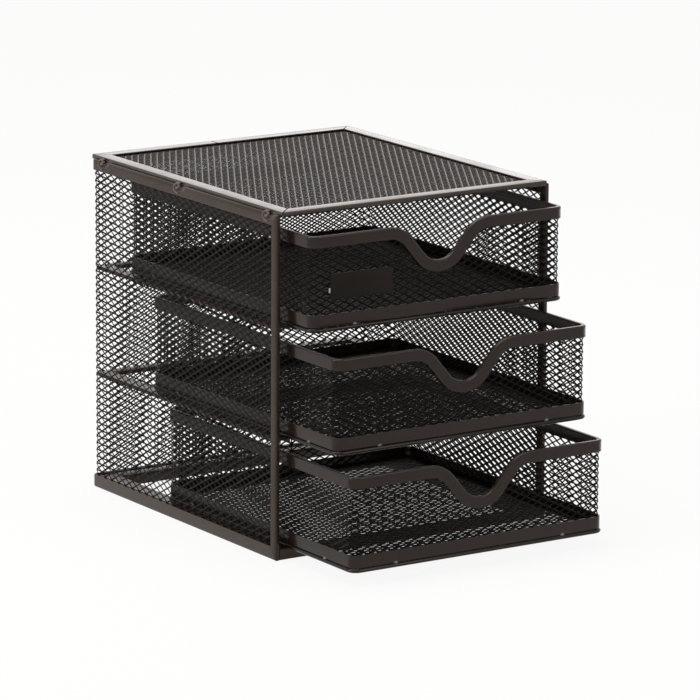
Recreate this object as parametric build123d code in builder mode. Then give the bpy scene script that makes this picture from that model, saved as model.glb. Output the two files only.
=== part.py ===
from build123d import *
import os
from math import cos, hypot, radians, sin, tan

# Desktop mini drawers in black painted steel and expanded mesh: an open-fronted case with three
# drawers that slide towards -Y. Millimetres, +X to the right seen from the front, +Z up. The origin
# is the middle of the front sill's underside, on the surface that the case stands on.

os.makedirs("parts", exist_ok=True)

# ---------------------------------------------------------------- driving dimensions

# case
case_width = 155.0            # over the outside of the side walls
case_depth = 170.0            # front of the posts to the outside of the back wall
case_height = 167.0           # standing surface to the top of the top panel
wall_bend_radius = 3.0        # outside of the bend where the wrapped wall turns at the back

# sheet and mesh
mesh_thickness = 0.8
channel_leaf = 0.8            # sheet of the folded channels that edge the walls, top and drawer rims
channel_edge_round = 0.7      # outside of a channel's fold
post_width = 4.6
top_channel_height = 4.6
base_channel_height = 6.2

# top panel, which lies on the back wall and between the side walls
panel_seat = 0.8              # how far the side walls reach up past its underside
panel_front_overhang = 1.5
panel_rear_overhang = 2.5
panel_channel_width = 7.0
panel_edge_round = 1.0

# ledges that the drawers run on
ledge_width = 6.0
ledge_height = 2.0
ledge_leaf = 0.8
ledge_setback = 0.6           # post's front face to the end of an upper ledge
base_ledge_width = 8.0
base_ledge_top = 5.6
middle_ledge_share = 0.35     # of the case's height, to the top of the ledge
upper_ledge_share = 0.672

# drawers
drawer_side_gap = 3.4         # side wall's inside face to the drawer's rim
drawer_back_gap = 2.1         # back wall's inside face to the rim of a closed drawer
drawer_headroom = 6.4         # upper drawer's rim to the underside of the top panel
drawer_corner_radius = 5.0
rim_height = 5.8
base_band_height = 6.0
base_band_leaf = 0.5
floor_flange = 3.0
wire_diameter = 2.0
wire_sides = 6                # the wire's round section is drawn with this many flats
wire_overhang = 0.3           # how far the runner wire stands out past the rim
wire_gap = 0.3                # between the base band and the wire, bridged by the tack welds
running_gap = 0.3             # between the runner wire and the ledge

# finger scoop in each drawer front
scoop_depth = 18.2
scoop_bottom_radius = 11.0
scoop_shoulder_radius = 16.0
scoop_slope = 50.0            # degrees

# drawers as they stand open at rest, each measured from closed
upper_drawer_pull = 21.1
middle_drawer_pull = 42.8
lower_drawer_pull = 57.0

# blank name plate on the upper drawer's front
plate_width = 34.5
plate_height = 12.3
plate_thickness = 1.0
plate_corner_cut = 0.6
plate_from_centre = 44.0      # plate's middle, left of the drawer's middle
plate_above_wire = 21.2       # plate's middle, above the wire's underside

# expanded mesh, drawn coarse: the cells are whole diamonds between straight strands
strand_width = 1.5
drawer_cell_width = 44.0
drawer_cell_height = 32.0
panel_cell_width = 54.0
panel_cell_height = 52.0
floor_cell_width = 60.0
floor_cell_height = 36.0

# tack welds
weld_sides = 6                # a bead of weld is drawn with this many flats
weld_radius = 1.1
weld_length = 3.0
weld_from_corner = 24.0       # along a drawer's side from its corner to the first weld
panel_weld_radius = 1.4
panel_weld_length = 5.0
panel_weld_margin = 12.0      # from the ends of the side wall to the outer welds

# ---------------------------------------------------------------- worked out from them

channel_thickness = mesh_thickness + 2 * channel_leaf
case_front = -channel_thickness / 2
case_back = case_front + case_depth
wall_top = case_height - channel_thickness
inner_side = case_width / 2 - channel_thickness
inner_back = case_back - channel_thickness
side_top = wall_top + panel_seat

panel_half_width = inner_side
panel_front = case_front - panel_front_overhang
panel_back = case_back + panel_rear_overhang

middle_ledge_top = middle_ledge_share * case_height
upper_ledge_top = upper_ledge_share * case_height
drawer_width = 2 * (inner_side - drawer_side_gap)
drawer_length = inner_back - drawer_back_gap - case_front
drawer_height = wall_top - drawer_headroom - upper_ledge_top - running_gap

wire_radius = wire_diameter / 2
band_bottom = wire_diameter + wire_gap
band_inset = channel_leaf - base_band_leaf
floor_inset = channel_leaf + mesh_thickness
floor_reach = floor_inset + floor_flange
scoop_run = radians(scoop_slope)
bottom_centre = drawer_height - scoop_depth + scoop_bottom_radius
shoulder_centre = drawer_height - scoop_shoulder_radius
slope_rise = (
    shoulder_centre + scoop_shoulder_radius * cos(scoop_run)
    - bottom_centre + scoop_bottom_radius * cos(scoop_run)
)
scoop_half_span = (
    (scoop_bottom_radius + scoop_shoulder_radius) * sin(scoop_run) + slope_rise / tan(scoop_run)
)


def save(piece, name):
    """Label a finished piece and write it."""
    piece.part.label = name
    export_step(piece.part, f"parts/{name}.step")


def elevation(y):
    """Upright plane across the case at y: local x is X, local y is Z, its normal is -Y."""
    return Plane(origin=(0, y, 0), x_dir=(1, 0, 0), z_dir=(0, -1, 0))


def cut_diamonds(plane, centre, width, height, cell_width, cell_height, keep_clear=None):
    """Cut staggered diamonds through the piece in hand, over a width by height field."""
    columns = max(1, round(width / cell_width))
    rows = max(1, round(height / cell_height))
    half_width = width / columns / 2
    half_height = height / rows / 2
    edge_distance = half_width * half_height / hypot(half_width, half_height)
    shrink = 1 - strand_width / 2 / edge_distance
    corner_x = half_width * shrink
    corner_y = half_height * shrink
    diamond = ((-corner_x, 0), (0, -corner_y), (corner_x, 0), (0, corner_y))
    with BuildSketch(plane) as holes:
        with Locations(centre):
            with GridLocations(2 * half_width, 2 * half_height, columns, rows):
                Polygon(*diamond)
            with GridLocations(2 * half_width, 2 * half_height, columns + 1, rows + 1):
                Polygon(*diamond)
            Rectangle(width - strand_width, height - strand_width, mode=Mode.INTERSECT)
        if keep_clear is not None:
            add(keep_clear, mode=Mode.SUBTRACT)
    extrude(holes.sketch, amount=mesh_thickness, both=True, mode=Mode.SUBTRACT)


# ---------------------------------------------------------------- case walls

def side_layer(level, inset, thickness):
    """Plan of one layer of the left wall, from the front round the back corner's bend."""
    outside = -case_width / 2 + inset
    inside = outside + thickness
    bend_radius = wall_bend_radius - inset
    bend_x = outside + bend_radius
    bend_y = case_back - inset - bend_radius
    with BuildSketch(Plane.XY.offset(level)) as layer:
        with BuildLine():
            flank = Line((outside, case_front + inset), (outside, bend_y))
            bend = CenterArc((bend_x, bend_y), bend_radius, 180, -90)
            inner_bend = CenterArc((bend_x, bend_y), bend_radius - thickness, 90, 90)
            Line(bend @ 1, inner_bend @ 0)
            Polyline(inner_bend @ 1, (inside, case_front + inset), flank @ 0)
        make_face()
    return layer.sketch


def cut_side_slot():
    """Clear the slot that the left wall's mesh fills."""
    extrude(
        side_layer(channel_leaf, channel_leaf, mesh_thickness),
        amount=wall_top - 2 * channel_leaf, mode=Mode.SUBTRACT,
    )


def side_patch(*corners):
    """Piece of the left wall's outside face, in the side view: corners are (y, z)."""
    with BuildSketch(Plane.YZ.offset(-case_width / 2)) as patch:
        with BuildLine():
            Polyline(*corners, close=True)
        make_face()
    return patch.sketch


side_open_length = case_depth - post_width - wall_bend_radius
side_open_height = wall_top - top_channel_height - base_channel_height
side_open_middle = (
    case_front + post_width + side_open_length / 2,
    base_channel_height + side_open_height / 2,
)
post_foot = (case_front + post_width, base_channel_height)
post_neck = (case_front + post_width, wall_top - top_channel_height)

with BuildPart() as left_mesh:
    extrude(
        side_layer(channel_leaf, channel_leaf, mesh_thickness),
        amount=wall_top - 2 * channel_leaf,
    )
    cut_diamonds(
        Plane.YZ.offset(-case_width / 2 + channel_thickness / 2), side_open_middle,
        side_open_length, side_open_height, panel_cell_width, panel_cell_height,
    )
save(left_mesh, "left_mesh")

with BuildPart() as right_mesh:
    mirror(left_mesh.part, about=Plane.YZ)
save(right_mesh, "right_mesh")

back_half_width = case_width / 2 - wall_bend_radius
with BuildPart() as back_mesh:
    with BuildSketch(elevation(case_back - channel_leaf)):
        with Locations((0, wall_top / 2)):
            Rectangle(2 * back_half_width, wall_top - 2 * channel_leaf)
    extrude(amount=mesh_thickness)
    cut_diamonds(
        elevation(case_back - channel_thickness / 2), (0, side_open_middle[1]),
        2 * back_half_width, side_open_height, panel_cell_width, panel_cell_height,
    )
save(back_mesh, "back_mesh")

# The front posts are channels folded over the mesh's front edge, mitred into the wall's channels.
with BuildPart() as left_post:
    extrude(
        side_patch((case_front, 0), post_foot, post_neck, (case_front, side_top)),
        amount=channel_thickness,
    )
    fillet(left_post.edges().filter_by(Axis.Z).group_by(Axis.Y)[0], channel_edge_round)
    cut_side_slot()
save(left_post, "left_post")

with BuildPart() as right_post:
    mirror(left_post.part, about=Plane.YZ)
save(right_post, "right_post")

# The side's top channel steps down at the back corner, where the panel lies on it.
with BuildPart() as top_channel_left:
    extrude(
        side_layer(wall_top - top_channel_height, 0, channel_thickness),
        amount=top_channel_height + panel_seat,
    )
    hem = top_channel_left.edges().group_by(Axis.Z)[-1].filter_by(Axis.Y).sort_by(Axis.X)[0]
    fillet(hem, channel_edge_round)
    extrude(
        side_patch((case_front, side_top), (case_front, post_neck[1]), post_neck),
        amount=channel_thickness, mode=Mode.SUBTRACT,
    )
    with Locations((-inner_side, case_back, wall_top)):
        Box(
            2 * wall_bend_radius, 2 * wall_bend_radius, panel_seat,
            align=(Align.CENTER, Align.CENTER, Align.MIN), mode=Mode.SUBTRACT,
        )
    cut_side_slot()
save(top_channel_left, "top_channel_left")

with BuildPart() as top_channel_right:
    mirror(top_channel_left.part, about=Plane.YZ)
save(top_channel_right, "top_channel_right")

with BuildPart() as base_channel_left:
    extrude(side_layer(0, 0, channel_thickness), amount=base_channel_height)
    extrude(
        side_patch((case_front, 0), post_foot, (case_front, base_channel_height)),
        amount=channel_thickness, mode=Mode.SUBTRACT,
    )
    cut_side_slot()
save(base_channel_left, "base_channel_left")

with BuildPart() as base_channel_right:
    mirror(base_channel_left.part, about=Plane.YZ)
save(base_channel_right, "base_channel_right")


def back_channel(low, high):
    """Channel along the back wall between two heights, with the slot that the mesh fills."""
    with BuildSketch(elevation(case_back)) as outline:
        with Locations((0, (low + high) / 2)):
            Rectangle(2 * back_half_width, high - low)
    extrude(outline.sketch, amount=channel_thickness)
    with BuildSketch(elevation(case_back - channel_leaf)) as slot:
        with Locations((0, wall_top / 2)):
            Rectangle(2 * back_half_width, wall_top - 2 * channel_leaf)
    extrude(slot.sketch, amount=mesh_thickness, mode=Mode.SUBTRACT)


with BuildPart() as top_channel_back:
    back_channel(wall_top - top_channel_height, wall_top)
save(top_channel_back, "top_channel_back")

with BuildPart() as base_channel_back:
    back_channel(0, base_channel_height)
save(base_channel_back, "base_channel_back")

# The sill is the same channel, empty, between the feet of the posts.
with BuildPart() as front_sill:
    with BuildSketch(elevation(case_front)):
        with Locations((0, base_ledge_top / 2)):
            Rectangle(2 * inner_side, base_ledge_top)
    extrude(amount=-channel_thickness)
    fillet(front_sill.edges().filter_by(Axis.X).group_by(Axis.Y)[0], channel_edge_round)
    with BuildSketch(elevation(case_front + channel_leaf)):
        with Locations((0, channel_leaf + base_ledge_top / 2)):
            Rectangle(2 * inner_side, base_ledge_top)
    extrude(amount=-mesh_thickness, mode=Mode.SUBTRACT)
save(front_sill, "front_sill")

# ---------------------------------------------------------------- top panel

panel_depth = panel_back - panel_front
panel_middle = (0, (panel_front + panel_back) / 2)

with BuildPart() as top_mesh:
    with BuildSketch(Plane.XY.offset(wall_top + channel_leaf)):
        with Locations(panel_middle):
            Rectangle(2 * panel_half_width - 2 * channel_leaf, panel_depth - 2 * channel_leaf)
    extrude(amount=mesh_thickness)
    cut_diamonds(
        Plane.XY.offset(wall_top + channel_thickness / 2), panel_middle,
        2 * panel_half_width - 2 * panel_channel_width, panel_depth - 2 * panel_channel_width,
        panel_cell_width, panel_cell_height,
    )
save(top_mesh, "top_mesh")


def panel_strip(*corners):
    """One mitred side of the top panel's frame, with the slot that the mesh fills."""
    with BuildSketch(Plane.XY.offset(wall_top)) as outline:
        with BuildLine():
            Polyline(*corners, close=True)
        make_face()
    extrude(outline.sketch, amount=channel_thickness)
    with BuildSketch(Plane.XY.offset(wall_top + channel_leaf)) as slot:
        with Locations(panel_middle):
            Rectangle(2 * panel_half_width - 2 * channel_leaf, panel_depth - 2 * channel_leaf)
    extrude(slot.sketch, amount=mesh_thickness, mode=Mode.SUBTRACT)


opening_half_width = panel_half_width - panel_channel_width
opening_front = panel_front + panel_channel_width
opening_back = panel_back - panel_channel_width

with BuildPart() as panel_front_strip:
    panel_strip(
        (-panel_half_width, panel_front), (panel_half_width, panel_front),
        (opening_half_width, opening_front), (-opening_half_width, opening_front),
    )
    top_edges = panel_front_strip.edges().group_by(Axis.Z)[-1]
    fillet(top_edges.sort_by(Axis.Y)[0], panel_edge_round)
save(panel_front_strip, "panel_front_strip")

with BuildPart() as panel_back_strip:
    panel_strip(
        (-panel_half_width, panel_back), (panel_half_width, panel_back),
        (opening_half_width, opening_back), (-opening_half_width, opening_back),
    )
    top_edges = panel_back_strip.edges().group_by(Axis.Z)[-1]
    fillet(top_edges.sort_by(Axis.Y)[-1], panel_edge_round)
save(panel_back_strip, "panel_back_strip")

with BuildPart() as panel_left_strip:
    panel_strip(
        (-panel_half_width, panel_front), (-panel_half_width, panel_back),
        (-opening_half_width, opening_back), (-opening_half_width, opening_front),
    )
    top_edges = panel_left_strip.edges().group_by(Axis.Z)[-1]
    fillet(top_edges.sort_by(Axis.X)[0], panel_edge_round)
save(panel_left_strip, "panel_left_strip")

with BuildPart() as panel_right_strip:
    mirror(panel_left_strip.part, about=Plane.YZ)
save(panel_right_strip, "panel_right_strip")

# Short beads in the corner between the side wall's top and the panel's edge.
bead_span = case_depth / 2 - panel_weld_margin - wall_bend_radius
with BuildPart() as panel_welds:
    for shift in (-bead_span, 0, bead_span):
        with BuildSketch(elevation(case_front + case_depth / 2 + shift)):
            with Locations((-panel_half_width, side_top), (panel_half_width, side_top)):
                RegularPolygon(panel_weld_radius, weld_sides)
        extrude(amount=panel_weld_length / 2, both=True)
    for blocker in (
        panel_left_strip, panel_right_strip, top_channel_left, top_channel_right, top_mesh,
        left_mesh, right_mesh,
    ):
        add(blocker.part, mode=Mode.SUBTRACT)
    with Locations((0, case_front + case_depth / 2, side_top)):
        Box(
            case_width - 2 * channel_thickness, case_depth, 4 * panel_weld_radius,
            align=(Align.CENTER, Align.CENTER, Align.MAX), mode=Mode.SUBTRACT,
        )
save(panel_welds, "panel_welds")

# ---------------------------------------------------------------- ledges

def make_ledges(level, top, width, height, front, wall_gap):
    """Left, right and back ledges of one level: flat tops with both edges turned down.

    Behind the post each ledge steps out by wall_gap, to lie against the mesh.
    """
    side_middle = inner_side - width / 2
    back_middle = inner_back - width / 2
    with BuildPart() as left_ledge:
        with BuildSketch(elevation(front)):
            with Locations((-side_middle, top - height / 2)):
                Rectangle(width, height)
            with Locations((-side_middle, top - height / 2 - ledge_leaf)):
                Rectangle(width - 2 * ledge_leaf, height, mode=Mode.SUBTRACT)
        extrude(amount=front - bend_start)
        if wall_gap:
            with BuildSketch(elevation(case_front + post_width)):
                with Locations((-inner_side - wall_gap / 2, top - height / 2)):
                    Rectangle(wall_gap, height)
            extrude(amount=case_front + post_width - bend_start)
    save(left_ledge, f"{level}_ledge_left")
    with BuildPart() as right_ledge:
        mirror(left_ledge.part, about=Plane.YZ)
    save(right_ledge, f"{level}_ledge_right")
    with BuildPart() as back_ledge:
        with BuildSketch(Plane.YZ):
            with Locations((back_middle + wall_gap / 2, top - height / 2)):
                Rectangle(width + wall_gap, height)
            with Locations((back_middle, top - height / 2 - ledge_leaf)):
                Rectangle(width - 2 * ledge_leaf, height, mode=Mode.SUBTRACT)
        extrude(amount=inner_side - width, both=True)
    save(back_ledge, f"{level}_ledge_back")


bend_start = case_back - wall_bend_radius
base_ledge_front = case_front + channel_thickness
upper_ledge_front = case_front + ledge_setback
make_ledges("base", base_ledge_top, base_ledge_width, base_ledge_top, base_ledge_front, 0)
make_ledges(
    "middle", middle_ledge_top, ledge_width, ledge_height, upper_ledge_front, channel_leaf
)
make_ledges("upper", upper_ledge_top, ledge_width, ledge_height, upper_ledge_front, channel_leaf)

# ---------------------------------------------------------------- drawers

def scoop_outline(plane, drop, top):
    """Face between the level top and the scoop's curve, moved down into the front by drop."""
    bottom_radius = scoop_bottom_radius + drop
    shoulder_radius = scoop_shoulder_radius - drop
    left_shoulder = (-scoop_half_span, shoulder_centre)
    right_shoulder = (scoop_half_span, shoulder_centre)
    with BuildSketch(plane) as outline:
        with BuildLine():
            left = CenterArc(left_shoulder, shoulder_radius, 90, -scoop_slope)
            bottom = CenterArc(
                (0, bottom_centre), bottom_radius, 270 - scoop_slope, 2 * scoop_slope
            )
            right = CenterArc(right_shoulder, shoulder_radius, 90 + scoop_slope, -scoop_slope)
            Line(left @ 1, bottom @ 0)
            Line(bottom @ 1, right @ 0)
            Polyline(right @ 1, (scoop_half_span, top), (-scoop_half_span, top), left @ 0)
        make_face()
    return outline.sketch


def drawer_ring(front, level, inset, thickness):
    """Plan of an upright band right round a drawer, inset from the rim's outside face."""
    reach = inset + thickness
    with BuildSketch(Plane.XY.offset(level)) as ring:
        with Locations((0, front + drawer_length / 2)):
            RectangleRounded(
                drawer_width - 2 * inset, drawer_length - 2 * inset, drawer_corner_radius - inset
            )
            RectangleRounded(
                drawer_width - 2 * reach, drawer_length - 2 * reach,
                drawer_corner_radius - reach, mode=Mode.SUBTRACT,
            )
    return ring.sketch


def keep_wall(x, y, width, length, level):
    """Keep only the stretch of wall around (x, y) of the drawer piece in hand."""
    with Locations((x, y, level)):
        Box(
            width, length, drawer_height,
            align=(Align.CENTER, Align.CENTER, Align.MIN), mode=Mode.INTERSECT,
        )


def make_drawer(name, ledge_top, pull):
    """All the pieces of one drawer, standing pull out of the case on its ledge."""
    front = case_front - pull
    back = front + drawer_length
    middle = front + drawer_length / 2
    wire_level = ledge_top + running_gap
    band_low = wire_level + band_bottom
    top = wire_level + drawer_height
    front_plane = Plane(origin=(0, front, wire_level), x_dir=(1, 0, 0), z_dir=(0, -1, 0))

    # the wrapped wall of mesh from the flange to the rim, before its cells are cut
    mesh_low = band_low + base_band_leaf
    with BuildPart() as mesh_wall:
        extrude(
            drawer_ring(front, mesh_low, channel_leaf, mesh_thickness),
            amount=top - rim_height - mesh_low,
        )
        extrude(
            scoop_outline(front_plane, rim_height, drawer_height),
            amount=-channel_thickness, mode=Mode.SUBTRACT,
        )

    # rim: the folded strip along the mesh's top edge, which dips round the finger scoop
    with BuildPart() as rim:
        extrude(drawer_ring(front, top - rim_height, 0, channel_thickness), amount=rim_height)
        extrude(scoop_outline(front_plane, rim_height, drawer_height), amount=-channel_thickness)
        extrude(
            scoop_outline(front_plane, 0, drawer_height + rim_height),
            amount=-channel_thickness, mode=Mode.SUBTRACT,
        )
    save(rim, f"{name}_rim")

    # base band: an angle right round, whose flange carries the mesh wall and the floor
    with BuildPart() as base_band:
        extrude(
            drawer_ring(front, band_low, band_inset, base_band_leaf), amount=base_band_height
        )
        with BuildSketch(Plane.XY.offset(band_low)):
            with Locations((0, middle)):
                RectangleRounded(
                    drawer_width - 2 * band_inset, drawer_length - 2 * band_inset,
                    drawer_corner_radius - band_inset,
                )
                Rectangle(
                    drawer_width - 2 * floor_reach, drawer_length - 2 * floor_reach,
                    mode=Mode.SUBTRACT,
                )
        extrude(amount=base_band_leaf)
    save(base_band, f"{name}_base_band")

    open_low = band_low + base_band_height
    open_high = top - rim_height
    open_middle = (open_low + open_high) / 2
    flat_width = drawer_width - 2 * drawer_corner_radius
    flat_length = drawer_length - 2 * drawer_corner_radius
    end_slab = 2 * drawer_corner_radius

    with BuildPart() as front_mesh:
        add(mesh_wall.part)
        keep_wall(0, front, drawer_width, end_slab, wire_level)
        lowered_scoop = scoop_outline(Plane((0, wire_level, 0)), rim_height, drawer_height)
        cut_diamonds(
            elevation(front + channel_thickness / 2), (0, open_middle),
            flat_width, open_high - open_low, drawer_cell_width, drawer_cell_height,
            keep_clear=lowered_scoop,
        )
    save(front_mesh, f"{name}_front_mesh")

    with BuildPart() as back_mesh:
        add(mesh_wall.part)
        keep_wall(0, back, drawer_width, end_slab, wire_level)
        cut_diamonds(
            elevation(back - channel_thickness / 2), (0, open_middle),
            flat_width, open_high - open_low, drawer_cell_width, drawer_cell_height,
        )
    save(back_mesh, f"{name}_back_mesh")

    with BuildPart() as left_mesh:
        add(mesh_wall.part)
        keep_wall(-drawer_width / 2, middle, end_slab, flat_length, wire_level)
        cut_diamonds(
            Plane.YZ.offset(-drawer_width / 2 + channel_thickness / 2), (middle, open_middle),
            flat_length, open_high - open_low, drawer_cell_width, drawer_cell_height,
        )
    save(left_mesh, f"{name}_left_mesh")

    with BuildPart() as right_mesh:
        mirror(left_mesh.part, about=Plane.YZ)
    save(right_mesh, f"{name}_right_mesh")

    with BuildPart() as floor_mesh:
        with BuildSketch(Plane.XY.offset(mesh_low)):
            with Locations((0, middle)):
                Rectangle(drawer_width - 2 * floor_inset, drawer_length - 2 * floor_inset)
        extrude(amount=mesh_thickness)
        chamfer(floor_mesh.edges().filter_by(Axis.Z), drawer_corner_radius - floor_inset)
        cut_diamonds(
            Plane.XY.offset(mesh_low + mesh_thickness / 2), (0, middle),
            drawer_width - 2 * floor_reach, drawer_length - 2 * floor_reach,
            floor_cell_width, floor_cell_height,
        )
    save(floor_mesh, f"{name}_floor_mesh")

    # runner wire: a closed loop under the base band, its round section drawn with a few flats
    wire_inset = wire_radius - wire_overhang
    wire_side = drawer_width / 2 - wire_inset
    wire_end = drawer_length / 2 - wire_inset
    with BuildPart() as runner_wire:
        with BuildLine(Plane((0, middle, wire_level + wire_radius))) as wire_route:
            FilletPolyline(
                (wire_side, -wire_end), (wire_side, wire_end),
                (-wire_side, wire_end), (-wire_side, -wire_end),
                radius=drawer_corner_radius - wire_inset, close=True,
            )
        with BuildSketch(Plane(origin=wire_route.line @ 0, z_dir=wire_route.line % 0)):
            RegularPolygon(wire_radius, wire_sides, major_radius=False)
        sweep(path=wire_route.line)
    save(runner_wire, f"{name}_runner_wire")

    # tack welds that join the wire to the band, two on each side
    across = drawer_width / 2 - weld_from_corner
    along = drawer_length / 2 - weld_from_corner
    face_x = drawer_width / 2 - band_inset
    face_y = drawer_length / 2 - band_inset
    with BuildPart() as welds:
        for side in (-1, 1):
            with BuildSketch(Plane.YZ.offset(side * across)):
                with Locations((middle - face_y, band_low), (middle + face_y, band_low)):
                    RegularPolygon(weld_radius, weld_sides)
            extrude(amount=weld_length / 2, both=True)
            with BuildSketch(elevation(middle + side * along)):
                with Locations((-face_x, band_low), (face_x, band_low)):
                    RegularPolygon(weld_radius, weld_sides)
            extrude(amount=weld_length / 2, both=True)
        add(base_band.part, mode=Mode.SUBTRACT)
        add(runner_wire.part, mode=Mode.SUBTRACT)
        add(mesh_wall.part, mode=Mode.SUBTRACT)
    save(welds, f"{name}_welds")


make_drawer("upper", upper_ledge_top, upper_drawer_pull)
make_drawer("middle", middle_ledge_top, middle_drawer_pull)
make_drawer("lower", base_ledge_top, lower_drawer_pull)

with BuildPart() as name_plate:
    plate_back = case_front - upper_drawer_pull + channel_leaf
    with BuildSketch(elevation(plate_back)):
        with Locations((-plate_from_centre, upper_ledge_top + running_gap + plate_above_wire)):
            Rectangle(plate_width, plate_height)
    extrude(amount=plate_thickness)
    chamfer(name_plate.edges().filter_by(Axis.Y), plate_corner_cut)
save(name_plate, "name_plate")
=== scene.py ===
import math

import bmesh
import bpy
from mathutils import Matrix, Vector


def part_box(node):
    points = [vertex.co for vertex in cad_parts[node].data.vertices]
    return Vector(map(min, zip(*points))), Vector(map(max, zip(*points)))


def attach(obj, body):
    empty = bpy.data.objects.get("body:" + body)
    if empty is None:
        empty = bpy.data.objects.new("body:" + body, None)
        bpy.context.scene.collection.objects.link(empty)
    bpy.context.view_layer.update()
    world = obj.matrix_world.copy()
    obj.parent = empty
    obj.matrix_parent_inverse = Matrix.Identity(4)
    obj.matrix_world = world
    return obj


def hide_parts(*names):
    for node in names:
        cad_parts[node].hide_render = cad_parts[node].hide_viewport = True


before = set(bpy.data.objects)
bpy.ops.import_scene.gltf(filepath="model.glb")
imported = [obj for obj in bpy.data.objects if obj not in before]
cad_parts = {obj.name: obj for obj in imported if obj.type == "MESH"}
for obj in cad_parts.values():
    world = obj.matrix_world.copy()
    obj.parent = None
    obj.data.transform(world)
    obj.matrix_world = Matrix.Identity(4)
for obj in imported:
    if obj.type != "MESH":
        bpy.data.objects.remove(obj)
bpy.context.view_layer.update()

mm = 0.001      # pieces are worked out in mm and multiplied by this as they reach a mesh
drawerNames = ["upper", "middle", "lower"]
upAxis = Vector((0, 0, 1))

# sheet metal sizes that the pieces share, in mm
sheet = {
    "leaf": 0.8,                # one layer of a folded channel
    "mesh": 0.8,                # room for the mesh between two leaves
    "foldRadius": 0.75,         # outside of a fold
    "foldSteps": 4,
    "rows": (0.4, 0.55, 0.7),   # shares of a leaf's height that get their own row of vertices
    "tip": 0.22,                # rounding on a leaf's free edge
    "fullFold": 45.0,           # degrees of bend that the paint shows as a whole fold, rubbed lighter there as wear and as a painted highlight
}
channelThickness = 2 * sheet["leaf"] + sheet["mesh"]

# how near two points lie to count as one, in mm
nearness = {
    "sweepEnds": 0.004,
    "cut": 0.0005,
    "sheetCut": 0.001,
    "cadPoints": 0.002,
}


def foldedSection(height, radius=sheet["foldRadius"], rows=()):
    # a folded channel seen from its end, fold at the top: (out, up) with the outside face at out 0
    thickness, leaf, tip = channelThickness, sheet["leaf"], sheet["tip"]
    points = [(-leaf, -leaf), (-leaf, -height + tip), (-leaf + tip, -height)]
    points += [(-tip, -height), (0, -height + tip)]
    points += [(0, -height * share) for share in sorted(rows, reverse=True)]
    for quarter, centre in ((0, -radius), (1, -thickness + radius)):
        for step in range(sheet["foldSteps"] + 1):
            turn = math.pi / 2 * (quarter + step / sheet["foldSteps"])
            points.append((centre + radius * math.cos(turn), -radius + radius * math.sin(turn)))
    points += [(-thickness, -height + tip), (-thickness + tip, -height)]
    points += [(-thickness + leaf - tip, -height), (-thickness + leaf, -height + tip)]
    points.append((-thickness + leaf, -leaf))
    return points


def roundSection(radius, sides):
    # a wire's section about its own middle
    turns = [2 * math.pi * k / sides for k in range(sides)]
    return [(radius * math.cos(turn), radius * math.sin(turn)) for turn in turns]


def startSweep(section, place, heading, up):
    # lays the section's loop at a place, looking along heading; out is to the right of the heading
    bm = bmesh.new()
    fold = bm.verts.layers.float.new("fold")
    out = heading.cross(up)
    corners = [bm.verts.new((place + out * a + up * b) * mm) for a, b in section]
    for k, corner in enumerate(corners):
        before = Vector(section[k]) - Vector(section[k - 1])
        after = Vector(section[(k + 1) % len(section)]) - Vector(section[k])
        # a corner's fold mark lightens the paint there: partly wear, partly a painted highlight along
        # the fold
        corner[fold] = min(before.angle(after, 0.0) / math.radians(sheet["fullFold"]), 1.0)
    loop = [bm.edges.new((corners[k], corners[(k + 1) % len(corners)])) for k in range(len(corners))]
    return bm, corners + loop


def sweepRoute(bm, geom, place, heading, route):
    # carries the section along runs and turns, as a bender would; positive turns go left about the axis
    place, heading = place.copy(), heading.copy()
    for step in route:
        if step[0] == "run":
            if step[1] <= 0:
                continue
            edges = [g for g in geom if isinstance(g, bmesh.types.BMEdge)]
            made = bmesh.ops.extrude_edge_only(bm, edges=edges)["geom"]
            verts = [g for g in made if isinstance(g, bmesh.types.BMVert)]
            geom = verts + [g for g in made if isinstance(g, bmesh.types.BMEdge)
                            and g.verts[0] in verts and g.verts[1] in verts]
            bmesh.ops.translate(bm, verts=verts, vec=heading * step[1] * mm)
            place += heading * step[1]
        else:
            _, degrees, radius, axis, steps = step
            angle = math.radians(degrees)
            left = axis.cross(heading) * (1 if angle > 0 else -1)
            pivot = place + left * radius
            made = bmesh.ops.spin(
                bm, geom=geom, cent=pivot * mm, axis=axis, dvec=(0, 0, 0), angle=angle,
                steps=steps, use_merge=False, use_normal_flip=False, use_duplicate=False,
            )["geom_last"]
            geom = list(made)
            turn = Matrix.Rotation(angle, 3, axis)
            place = pivot + turn @ (place - pivot)
            heading = turn @ heading


def closeSweep(bm):
    # joins a ring's last section to its first
    bmesh.ops.remove_doubles(bm, verts=bm.verts, dist=nearness["sweepEnds"] * mm)
    bmesh.ops.recalc_face_normals(bm, faces=bm.faces)


def capEnds(bm):
    edges = [e for e in bm.edges if e.is_boundary]
    bmesh.ops.holes_fill(bm, edges=edges, sides=0)
    bmesh.ops.recalc_face_normals(bm, faces=bm.faces)


def trim(bm, place, normal, near=nearness["cut"]):
    # takes off what lies on the normal's side of a plane
    geom = list(bm.verts) + list(bm.edges) + list(bm.faces)
    bmesh.ops.bisect_plane(
        bm, geom=geom, dist=near * mm, plane_co=Vector(place) * mm, plane_no=normal, clear_outer=True,
    )


def cutAway(bm, place, normal):
    # trims a solid and closes the cut
    trim(bm, place, normal)
    capEnds(bm)


def press(bm, heart, radius, push, shape=None):
    # pushes what lies within a radius of a point, most at the point itself
    for v in bm.verts:
        gap = v.co / mm - heart
        if shape:
            shape(gap)
        away = gap.length / radius
        if away < 1:
            v.co += push * (1 - away ** 2) ** 2 * mm


def breakEdges(bm, edges, width, segments):
    return bmesh.ops.bevel(
        bm, geom=edges, offset=width * mm, offset_type="OFFSET", segments=segments,
        affect="EDGES", profile=0.5, material=-1, clamp_overlap=True,
    )["verts"]


def joinInto(whole, part):
    # adds one bmesh to another
    mesh = bpy.data.meshes.new("part")
    part.to_mesh(mesh)
    part.free()
    whole.from_mesh(mesh)
    bpy.data.meshes.remove(mesh)


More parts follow.
